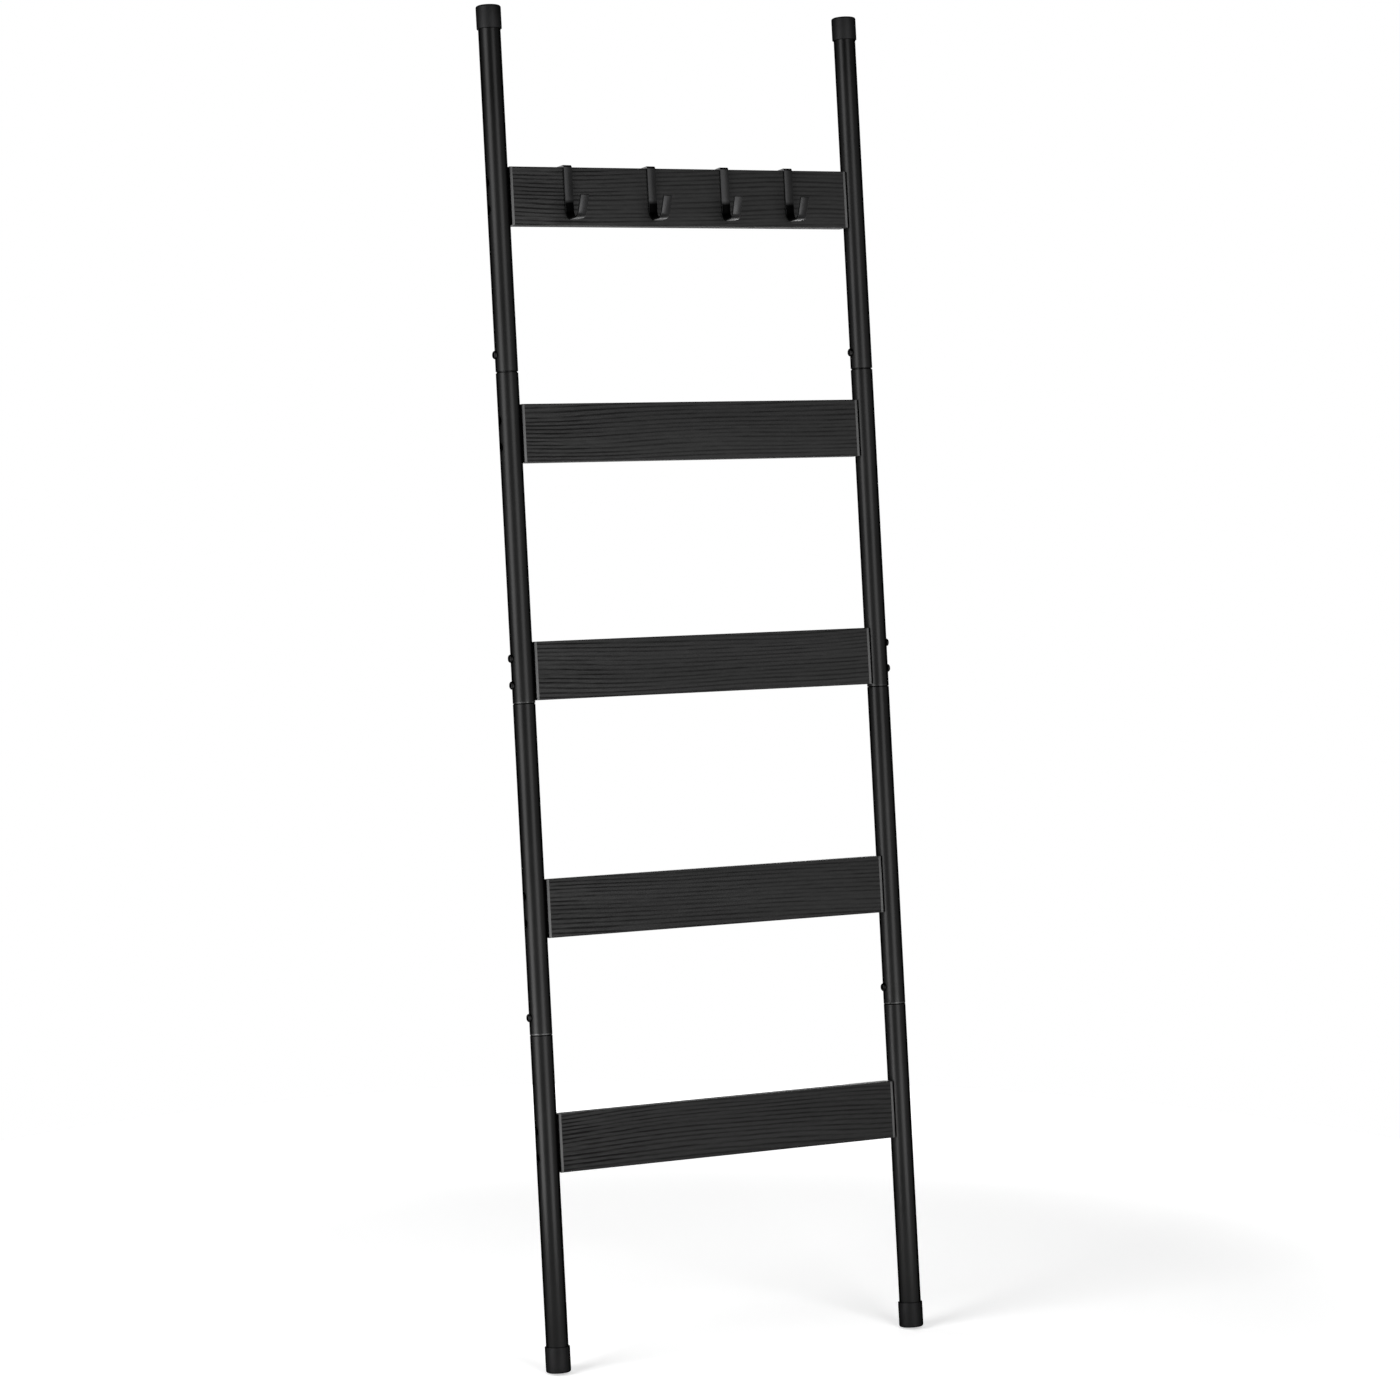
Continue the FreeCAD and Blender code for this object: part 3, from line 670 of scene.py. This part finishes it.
# %% Sizes of the tubes
RAIL_PLACE = {"left": -238.5 * MM, "right": 238.5 * MM}
RAIL_FOOT = 5 * MM
RAIL_HEAD = 1629 * MM
TUBE_RADIUS = 13.5 * MM
TUBE_WALL = 1.2 * MM
TUBE_SIDES = 96
NECK_RADIUS = 12.2 * MM
SHOULDER = 1 * MM
print("rails", round(2 * RAIL_PLACE["right"] / MM), "mm apart, up to", round(RAIL_HEAD / MM), "mm")


# %% Drilling
def add_cutter(x, height, radius, length):
    """A round bar along X: the drill that makes one hole."""
    let_go()
    bpy.ops.mesh.primitive_cylinder_add(vertices=32, radius=radius, depth=length,
                                        location=(x, 0, height), rotation=(0, math.pi / 2, 0))
    return bpy.context.object


def cut_away(piece, cutters):
    """Take the cutters out of the piece, then put them away."""
    tool = join(cutters)
    fix_place()
    boolean = piece.modifiers.new("drill", "BOOLEAN")
    boolean.operation = "DIFFERENCE"
    boolean.solver = "EXACT"
    boolean.object = tool
    apply_modifiers(piece)
    bpy.data.objects.remove(tool)


# %% Raising the wall of a tube
RING_GAP = 7.5 * MM             # from a hole's middle to the rings above and below it


def raise_wall(x, bottom, top, neck):
    """An open cylinder from bottom to top, drawn in to a neck above it."""
    wall_top = top - SHOULDER if neck else top
    let_go()
    bpy.ops.mesh.primitive_cylinder_add(vertices=TUBE_SIDES, radius=TUBE_RADIUS,
                                        depth=wall_top - bottom, end_fill_type="NOTHING",
                                        location=(x, 0, (wall_top + bottom) / 2))
    fix_place()
    bpy.ops.object.mode_set(mode="EDIT")
    if neck:
        pick("edges", lambda edge: lies_at(edge, 2, wall_top))
        bpy.ops.mesh.extrude_region_move(TRANSFORM_OT_translate={"value": (0, 0, SHOULDER)})
        draw_in = NECK_RADIUS / TUBE_RADIUS
        bpy.ops.transform.resize(value=(draw_in, draw_in, 1), center_override=(x, 0, top))
        bpy.ops.mesh.extrude_region_move(TRANSFORM_OT_translate={"value": (0, 0, neck)})
    bpy.ops.object.mode_set(mode="OBJECT")
    return bpy.context.object


def add_rings(tube, x, holes, low, high):
    """Cut a ring into the wall above and below each hole, between low and high."""
    take(tube)
    bpy.ops.object.mode_set(mode="EDIT")
    for height in sorted({hole[0] for hole in holes}):
        for ring in (height - RING_GAP, height + RING_GAP):
            if low + HAIR < ring < high - HAIR:
                bpy.ops.mesh.select_all(action="SELECT")
                bpy.ops.mesh.bisect(plane_co=(x, 0, ring), plane_no=(0, 0, 1))
    bpy.ops.mesh.select_all(action="SELECT")
    bpy.ops.mesh.normals_make_consistent(inside=False)
    bpy.ops.object.mode_set(mode="OBJECT")


# %% One tube
DRILL_LENGTH = 8 * MM
DRILL_START = 3 * MM            # how far outside the tube a drill starts
LIP_ROUND = 0.5 * MM            # at the lower end, which shows as the line of a joint
RIM_ROUND = 0.4 * MM


def make_tube(rail, name, bottom, top, neck, holes):
    """A tube from bottom to top with a neck above it. A hole is (height, radius, side)."""
    x = RAIL_PLACE[rail]
    tube = raise_wall(x, bottom, top, neck)
    add_rings(tube, x, holes, bottom, top + neck)
    wall = tube.modifiers.new("wall", "SOLIDIFY")
    wall.thickness = TUBE_WALL
    wall.offset = -1
    wall.use_even_offset = True
    apply_modifiers(tube)
    drill_middle = TUBE_RADIUS + DRILL_START - DRILL_LENGTH / 2
    cut_away(tube, [add_cutter(x + side * drill_middle, height, radius, DRILL_LENGTH)
                    for height, radius, side in holes])
    take(tube)
    bpy.ops.object.mode_set(mode="EDIT")
    pick("edges", lambda edge: on_rim(edge, bottom, x, TUBE_RADIUS))
    bpy.ops.mesh.bevel(offset=LIP_ROUND, segments=3, affect="EDGES")
    bpy.ops.object.mode_set(mode="OBJECT")
    soften_edges(tube, RIM_ROUND, segments=3, sharper_than=40)
    smooth(tube)
    settle(tube, f"{name}_tube", "ladder", "rail_paint", rail_coat, name)


# %% Holes in the tubes
BOARD_HEIGHTS = {5: 272 * MM, 4: 552 * MM, 3: 836 * MM, 2: 1120 * MM, 1: 1404 * MM}
BOLT_STEPS = (-16 * MM, 16 * MM)        # a board's two bolts, from its middle
JOINT_BOLTS = (423.5 * MM, 1214.5 * MM)
ACCESS_RADIUS = 5.5 * MM
BOLT_HOLE_RADIUS = 3.3 * MM


def board_holes(number, side):
    """The two holes that let bolt heads in, and the two that they clamp, for one board."""
    holes = []
    for step in BOLT_STEPS:
        height = BOARD_HEIGHTS[number] + step
        holes.append((height, ACCESS_RADIUS, side))
        holes.append((height, BOLT_HOLE_RADIUS, -side))
    return holes


def through_holes():
    """The holes of the middle board's bolts, which pass both walls."""
    return [(BOARD_HEIGHTS[3] + step, BOLT_HOLE_RADIUS, side)
            for step in BOLT_STEPS for side in (-1, 1)]


print("boards at", [round(height / MM) for height in BOARD_HEIGHTS.values()], "mm")

# %% The eight tubes
NECK = 42 * MM
LONG_NECK = 72 * MM             # it reaches up behind the middle board's bolts
OPEN_JOINT = 1 * MM             # the upper joint isn't quite closed, and shows as a dark line
for rail, side in (("left", -1), ("right", 1)):
    low_bolt = [(JOINT_BOLTS[0], BOLT_HOLE_RADIUS, -1)]
    high_bolt = [(JOINT_BOLTS[1], BOLT_HOLE_RADIUS, -1)]
    make_tube(rail, f"{rail}_rail_bottom", RAIL_FOOT, JOINTS[0], NECK,
              board_holes(5, side) + low_bolt)
    make_tube(rail, f"{rail}_rail_lower", JOINTS[0], JOINTS[1], LONG_NECK,
              board_holes(4, side) + low_bolt + through_holes())
    make_tube(rail, f"{rail}_rail_upper", JOINTS[1], JOINTS[2], NECK,
              board_holes(2, side) + high_bolt + through_holes())
    make_tube(rail, f"{rail}_rail_top", JOINTS[2] + OPEN_JOINT, RAIL_HEAD, 0,
              board_holes(1, side) + high_bolt)

# %% [markdown]
# ## Feet and caps
#
# A thick rubber cup is pushed over each end of a rail. The closed end is rounded, and the open
# lip is only eased so that it doesn't catch. A closed cylinder makes one: its end face is inset
# and pushed in for the bore, and the two outer rims are bevelled.

# %% Cups
CUP_RADIUS = 15.1 * MM
CUP_BORE = 13.6 * MM
CUP_ROUND = 2.5 * MM
CUP_LIP_ROUND = 0.8 * MM


def make_cup(rail, name, closed, lip, bottom_of_bore):
    """A cup whose closed end, open lip and bottom of its bore are at these heights."""
    x = RAIL_PLACE[rail]
    let_go()
    bpy.ops.mesh.primitive_cylinder_add(vertices=TUBE_SIDES, radius=CUP_RADIUS,
                                        depth=abs(closed - lip), end_fill_type="NGON",
                                        location=(x, 0, (closed + lip) / 2))
    cup = bpy.context.object
    fix_place()
    bpy.ops.object.mode_set(mode="EDIT")
    pick("faces", lambda face: lies_at(face, 2, lip))
    bpy.ops.mesh.inset(thickness=CUP_RADIUS - CUP_BORE)
    bpy.ops.mesh.extrude_region_move(
        TRANSFORM_OT_translate={"value": (0, 0, bottom_of_bore - lip)})
    pick("edges", lambda edge: on_rim(edge, closed, x, CUP_RADIUS))
    bpy.ops.mesh.bevel(offset=CUP_ROUND, segments=6, affect="EDGES")
    pick("edges", lambda edge: on_rim(edge, lip, x, CUP_RADIUS))
    bpy.ops.mesh.bevel(offset=CUP_LIP_ROUND, segments=2, affect="EDGES")
    bpy.ops.object.mode_set(mode="OBJECT")
    smooth(cup, 40)
    settle(cup, f"{name}_rubber", "ladder", "cap_rubber", rubber, name)


# %% Two feet and two caps
FOOT_LIP = 31 * MM
CAP_LIP = 1604 * MM
CAP_TOP = 1632 * MM
for rail in RAIL_PLACE:
    make_cup(rail, f"{rail}_foot", 0, FOOT_LIP, RAIL_FOOT)
    make_cup(rail, f"{rail}_top_cap", CAP_TOP, CAP_LIP, RAIL_HEAD)

# %% [markdown]
# ## Boards
#
# A board is a plank 18 mm thick and 70 mm high. Its long edges are broken by a small round that
# shows as a thin dark line above and below the face. A block is bevelled along those four edges
# and its ends are drilled for the sleeves and bolts.

# %% A plank
BOARD_DEPTH = 18 * MM
BOARD_HEIGHT = 70 * MM
EDGE_ROUND = 0.8 * MM


def along_x(edge):
    """True for an edge that runs along the ladder's width."""
    first, second = (vertex.co for vertex in edge.verts)
    return abs(first.x - second.x) > 10 * HAIR and (first - second).yz.length < HAIR


def make_plank(low_x, high_x, height):
    """A block with its four long edges rounded."""
    let_go()
    bpy.ops.mesh.primitive_cube_add(size=1, location=((low_x + high_x) / 2, 0, height),
                                    scale=(high_x - low_x, BOARD_DEPTH, BOARD_HEIGHT))
    plank = bpy.context.object
    fix_place()
    bpy.ops.object.mode_set(mode="EDIT")
    pick("edges", along_x)
    bpy.ops.mesh.bevel(offset=EDGE_ROUND, segments=4, affect="EDGES")
    bpy.ops.object.mode_set(mode="OBJECT")
    return plank


print("planks are", round(BOARD_DEPTH / MM), "by", round(BOARD_HEIGHT / MM), "mm")

# %% One board
SLEEVE_RADIUS = 4.8 * MM
SLEEVE_END = 204 * MM           # how near a sleeve's hole comes to the ladder's middle
BOLT_HOLE_END = 190.2 * MM      # the same for the bolt's hole behind it
OVERRUN = 1 * MM                # a drill starts this far outside the board
OVERLAP = 0.1 * MM              # and the second one this far inside the first one's hole


def make_board(number, height):
    """A plank from band to band, drilled in both ends."""
    board = make_plank(-BOARD_REACH, BOARD_REACH, height)
    drills = ((SLEEVE_RADIUS, BOARD_REACH + OVERRUN, SLEEVE_END),
              (BOLT_HOLE_RADIUS, SLEEVE_END + OVERLAP, BOLT_HOLE_END))
    cut_away(board, [add_cutter(side * (start + end) / 2, height + step, radius, start - end)
                     for side in (-1, 1) for step in BOLT_STEPS for radius, start, end in drills])
    smooth(board)
    settle(board, f"board_{number}_plank", "ladder", "board_wood", wood, f"board_{number}")


# %% [markdown]
# ## Films on the board ends
#
# The film is a short piece of the same plank, only as long as the film is thick, with holes for
# the two bolts. A knife trims its upright outer edges at a slant, which one flat bevel repeats.

# %% The films of one board
BAND_THICKNESS = 3 * MM
END_CHAMFER = 2.2 * MM
FILM_DRILL = 9 * MM             # long enough to pass the film on both sides


def upright_edge(edge):
    """True for an edge that runs up a board's end."""
    first, second = (vertex.co for vertex in edge.verts)
    return abs(first.z - second.z) > BOARD_HEIGHT / 2


def make_film(side, height):
    """The film on one end of a board."""
    inner = side * BOARD_REACH
    outer = side * (BOARD_REACH + BAND_THICKNESS)
    film = make_plank(min(inner, outer), max(inner, outer), height)
    bpy.ops.object.mode_set(mode="EDIT")
    pick("edges", lambda edge: lies_at(edge, 0, outer) and upright_edge(edge))
    bpy.ops.mesh.bevel(offset=END_CHAMFER, segments=1, affect="EDGES")
    bpy.ops.object.mode_set(mode="OBJECT")
    cut_away(film, [add_cutter(inner, height + step, BOLT_HOLE_RADIUS, FILM_DRILL)
                    for step in BOLT_STEPS])
    smooth(film)
    return film


# %% All boards and films
for number, height in BOARD_HEIGHTS.items():
    make_board(number, height)
    films = join([make_film(side, height) for side in (-1, 1)])
    settle(films, f"board_{number}_films", "ladder", "edge_band", band,
           f"board_{number}_end_bands")

# %% [markdown]
# ## Bolts
#
# All bolts are button heads with a hexagon socket. One is turned from a cylinder: the rim is
# bevelled to a dome, the underside is inset and pulled out as the shank, and a six-sided cutter
# makes the socket. It stands on Z first and is then laid along X.

# %% A button-head bolt
HEAD_RADIUS = 5 * MM
HEAD_HEIGHT = 3.3 * MM
HEAD_DOME = 2.5 * MM
SHANK_RADIUS = 3 * MM
POINT = 0.8 * MM
SOCKET_ACROSS = 4 * MM          # from flat to flat
SOCKET_DEPTH = 2 * MM
SOCKET_ROUND = 0.12 * MM


def turn_bolt(length):
    """A bolt with its seat at the origin, its head above and its shank of that length below."""
    let_go()
    bpy.ops.mesh.primitive_cylinder_add(vertices=40, radius=HEAD_RADIUS, depth=HEAD_HEIGHT,
                                        location=(0, 0, HEAD_HEIGHT / 2))
    bolt = bpy.context.object
    fix_place()
    bpy.ops.object.mode_set(mode="EDIT")
    pick("faces", lambda face: lies_at(face, 2, 0))
    bpy.ops.mesh.inset(thickness=HEAD_RADIUS - SHANK_RADIUS)
    bpy.ops.mesh.extrude_region_move(TRANSFORM_OT_translate={"value": (0, 0, POINT - length)})
    bpy.ops.mesh.extrude_region_move(TRANSFORM_OT_translate={"value": (0, 0, -POINT)})
    tip = (SHANK_RADIUS - POINT) / SHANK_RADIUS
    bpy.ops.transform.resize(value=(tip, tip, 1), center_override=(0, 0, -length))
    pick("edges", lambda edge: lies_at(edge, 2, HEAD_HEIGHT))
    bpy.ops.mesh.bevel(offset=HEAD_DOME, segments=6, affect="EDGES")
    bpy.ops.object.mode_set(mode="OBJECT")
    let_go()
    bpy.ops.mesh.primitive_cylinder_add(vertices=6, radius=SOCKET_ACROSS / math.sqrt(3),
                                        depth=2 * SOCKET_DEPTH, location=(0, 0, HEAD_HEIGHT))
    cut_away(bolt, [bpy.context.object])
    soften_edges(bolt, SOCKET_ROUND, segments=2, sharper_than=50)
    smooth(bolt)
    return bolt


# %% Laying bolts in their holes
def lay_out(pattern, places, name, node):
    """Copy a bolt to each place (x, height, way), where way is 1 if it points to the right."""
    copies = []
    for x, height, way in places:
        copy = pattern.copy()
        copy.data = pattern.data.copy()
        bpy.context.scene.collection.objects.link(copy)
        copy.rotation_euler = (0, -math.pi / 2 * way, 0)
        copy.location = (x, 0, height)
        take(copy)
        fix_place()
        copies.append(copy)
    settle(join(copies), name, "ladder", "bolt_steel", black_steel, node)


# %% All bolts
# A short bolt's head lies inside the tube, where the curve of the wall is as wide as the head.
INNER_SEAT = math.sqrt((TUBE_RADIUS - TUBE_WALL) ** 2 - HEAD_RADIUS ** 2)
short_bolt = turn_bolt(35 * MM)         # lengths under the head
long_bolt = turn_bolt(60 * MM)
joint_bolt = turn_bolt(14 * MM)
for number, height in BOARD_HEIGHTS.items():
    pattern, seat = (long_bolt, -TUBE_RADIUS) if number == 3 else (short_bolt, INNER_SEAT)
    places = [(way * (RAIL_PLACE["left"] + seat), height + step, way)
              for way in (1, -1) for step in BOLT_STEPS]
    lay_out(pattern, places, f"board_{number}_screws", f"board_{number}_bolts")
for rail, x in RAIL_PLACE.items():
    lay_out(joint_bolt, [(x - TUBE_RADIUS, height, 1) for height in JOINT_BOLTS],
            f"{rail}_joint_screws", f"{rail}_joint_bolts")
for pattern in (short_bolt, long_bolt, joint_bolt):
    bpy.data.objects.remove(pattern)

# %% [markdown]
# ## Hooks
#
# Each hook is one flat strip, bent four times in a brake: over the board from behind in two
# tight bends, down its face, forward in a round bend, and up again with its tip leaning out.
# The same is done here: the strip's end face is pulled along each straight run and spun round
# each bend.

# %% Sizes of a hook
STRIP_WIDTH = 11 * MM
STRIP_THICKNESS = 2.5 * MM
STRIP_ROUND = 0.45 * MM
BOARD_TOP = 1439 * MM
BACK_LEG = 22 * MM
LEG_PLACE = 10.75 * MM                  # middle of the strip, from the board's middle
CROWN = BOARD_TOP + STRIP_THICKNESS / 2
TOP_BEND = 2.05 * MM                    # bend radii at the middle of the strip
SHANK_BEND = 12.25 * MM
TIP_BEND = 9.25 * MM
TIP_ANGLE = 65                          # degrees from level
TIP_CORNER = -42.2 * MM                 # where the sole and the tip would meet unbent
TIP_RUN = 21.3 * MM
print("a hook reaches", round(-(TIP_CORNER + LEG_PLACE) / MM, 1), "mm in front of its shank")


# %% Pulling and bending the strip
def pull(y, z):
    """Pull the strip's end face straight on."""
    bpy.ops.mesh.extrude_region_move(TRANSFORM_OT_translate={"value": (0, y, z)})


def bend(x, y, z, degrees, steps):
    """Bend the strip round an axis along X through that place."""
    bpy.ops.mesh.spin(steps=steps, angle=math.radians(degrees), center=(x, y, z),
                      axis=(-1, 0, 0), dupli=False, use_auto_merge=False)


def follow_hook(x):
    """From the end of the back leg, over the board and down to the tip."""
    shoulder = CROWN - TOP_BEND
    side = LEG_PLACE - TOP_BEND
    pull(0, shoulder - (BOARD_TOP - BACK_LEG))
    bend(x, side, shoulder, 90, 8)
    pull(-2 * side, 0)
    bend(x, -side, shoulder, 90, 8)
    pull(0, SOLE + SHANK_BEND - shoulder)
    bend(x, -LEG_PLACE - SHANK_BEND, SOLE + SHANK_BEND, -90, 20)
    tip_turn = math.radians(TIP_ANGLE)
    tip_start = TIP_CORNER + TIP_BEND * math.tan(tip_turn / 2)
    pull(tip_start + LEG_PLACE + SHANK_BEND, 0)
    bend(x, tip_start, SOLE + TIP_BEND, -TIP_ANGLE, 14)
    pull(-math.cos(tip_turn) * TIP_RUN, math.sin(tip_turn) * TIP_RUN)


# %% One hook
def bend_hook(x):
    """A hook over the top board, with the middle of its strip at x."""
    let_go()
    bpy.ops.mesh.primitive_plane_add(size=1, location=(x, LEG_PLACE, BOARD_TOP - BACK_LEG))
    hook = bpy.context.object
    hook.scale = (STRIP_WIDTH, STRIP_THICKNESS, 1)
    fix_place()
    bpy.ops.object.mode_set(mode="EDIT")
    bpy.ops.mesh.select_mode(type="FACE")
    bpy.ops.mesh.select_all(action="SELECT")
    follow_hook(x)
    bpy.ops.mesh.select_all(action="SELECT")
    bpy.ops.mesh.remove_doubles(threshold=HAIR / 4)
    bpy.ops.mesh.select_all(action="DESELECT")
    bpy.ops.mesh.select_mode(type="FACE")
    bpy.ops.mesh.select_interior_faces()
    bpy.ops.mesh.delete(type="FACE")
    bpy.ops.mesh.select_all(action="SELECT")
    bpy.ops.mesh.normals_make_consistent(inside=False)
    bpy.ops.object.mode_set(mode="OBJECT")
    soften_edges(hook, STRIP_ROUND, segments=3, sharper_than=50)
    smooth(hook, 40)
    return hook


# %% The four hooks
HOOKS = {1: (-151.5, 3), 2: (-41, 1), 3: (58, -3.5), 4: (144.5, 0)}   # place in mm, twist in degrees
for number, (x, twist) in HOOKS.items():
    hook = bend_hook(0)
    hook.rotation_euler = (0, 0, math.radians(twist))
    hook.location = (x * MM, 0, 0)
    settle(hook, f"hook_{number}_strip", f"hook_{number}_body", "hook_paint", hook_coat,
           f"hook_{number}")

# %% [markdown]
# ## Fasteners that stay as they are
#
# The sleeves in the boards and the nuts inside the necks are hidden, and their CAD shapes are
# right. They only get their metal.

# %% Sleeves and nuts
for ending, finish in (("_inserts", yellow_zinc), ("_nuts", zinc)):
    for name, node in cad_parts.items():
        if name.endswith(ending):
            node.data.materials.clear()
            node.data.materials.append(finish.material)
            print(name, "is", finish.material.name)
